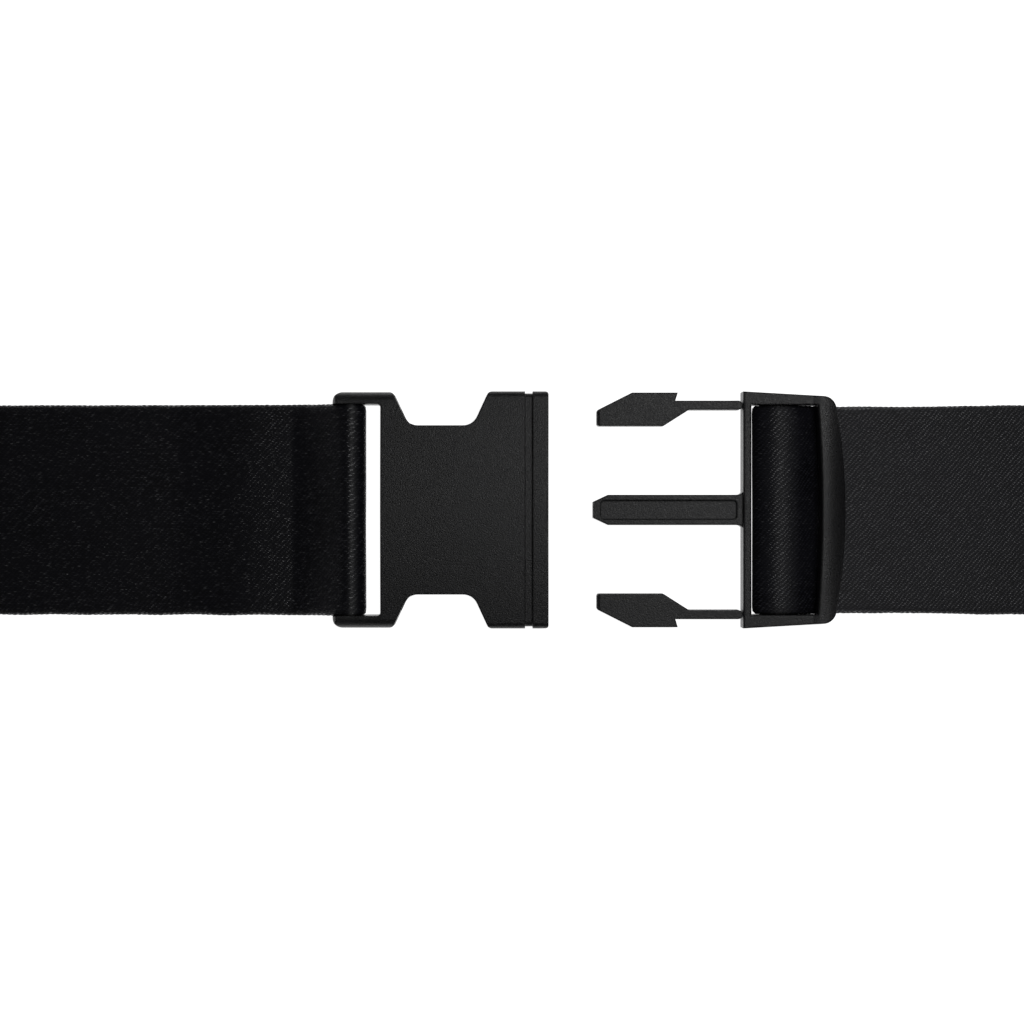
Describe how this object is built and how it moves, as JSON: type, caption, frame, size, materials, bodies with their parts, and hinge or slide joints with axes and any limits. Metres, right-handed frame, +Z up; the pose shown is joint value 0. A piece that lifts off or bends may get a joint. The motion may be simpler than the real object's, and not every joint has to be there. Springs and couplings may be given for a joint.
{
  "type": "money belt",
  "caption": "Wide black webbing belt with an open side-release buckle and a flat zipped money pocket on the inner face of its back run.",
  "frame": {"origin": "on the table, under the middle of the belt's box", "axes": "+X along the belt from socket to plug, +Y from the buckle to the back run, +Z up"},
  "size_m": [0.486, 0.189, 0.05],
  "materials": {
    "buckle_plastic": "fine moulded texture",
    "webbing": "twill-woven polyester webbing",
    "thread": "bonded nylon thread",
    "pocket_fabric": "plain-woven pocket fabric",
    "binding_tape": "grosgrain binding",
    "zip_tape": "herringbone zip tape",
    "zip_coil": "nylon coil",
    "zip_metal": "black enamelled zinc"
  },
  "bodies": {
    "root": {"socket_housing": "buckle_plastic", "webbing_belt": "webbing", "hem_stitching": "thread", "binding_stitching": "thread", "zip_stitching": "thread", "pocket_backing": "pocket_fabric", "pocket_panel_lower": "pocket_fabric", "pocket_panel_upper": "pocket_fabric", "pocket_end_tabs": "pocket_fabric", "pocket_binding": "binding_tape", "zip_tape_lower": "zip_tape", "zip_tape_upper": "zip_tape", "zip_coil_lower": "zip_coil", "zip_coil_upper": "zip_coil", "zip_top_stops": "zip_metal", "zip_bottom_stop": "zip_metal"},
    "plug": {"plug_frame": "buckle_plastic", "webbing_adjuster_loop": "webbing"},
    "arm_front": {"latch_arm_front": "buckle_plastic"},
    "arm_back": {"latch_arm_back": "buckle_plastic"},
    "zip_slider": {"zip_slider": "zip_metal"},
    "zip_pull": {"zip_pull_tab": "zip_metal"}
  },
  "joints": [
    {"name": "buckle_slide", "type": "slide", "parent": "root", "child": "plug", "axis": [-1, 0, 0], "range_m": [0, 0.0452], "deforming": ["latch_arm_front", "latch_arm_back"]},
    {"name": "latch_flex_front", "type": "hinge", "parent": "plug", "child": "arm_front", "pos_m": [0.05387, -0.0912, 0.00475], "axis": [0, 0, -1], "range_deg": [0, 9], "stiffness_Nm_per_rad": 1.8},
    {"name": "latch_flex_back", "type": "hinge", "parent": "plug", "child": "arm_back", "pos_m": [0.05387, -0.0413, 0.00475], "axis": [0, 0, 1], "range_deg": [0, 9], "stiffness_Nm_per_rad": 1.8},
    {"name": "zip_slide", "type": "slide", "parent": "root", "child": "zip_slider", "axis": [-1, 0, 0], "range_m": [0, 0.19]},
    {"name": "pull_tab_swing", "type": "hinge", "parent": "zip_slider", "child": "zip_pull", "pos_m": [0.097, 0.0846, 0.03], "axis": [0, 0, 1], "range_deg": [0, 170]}
  ]
}
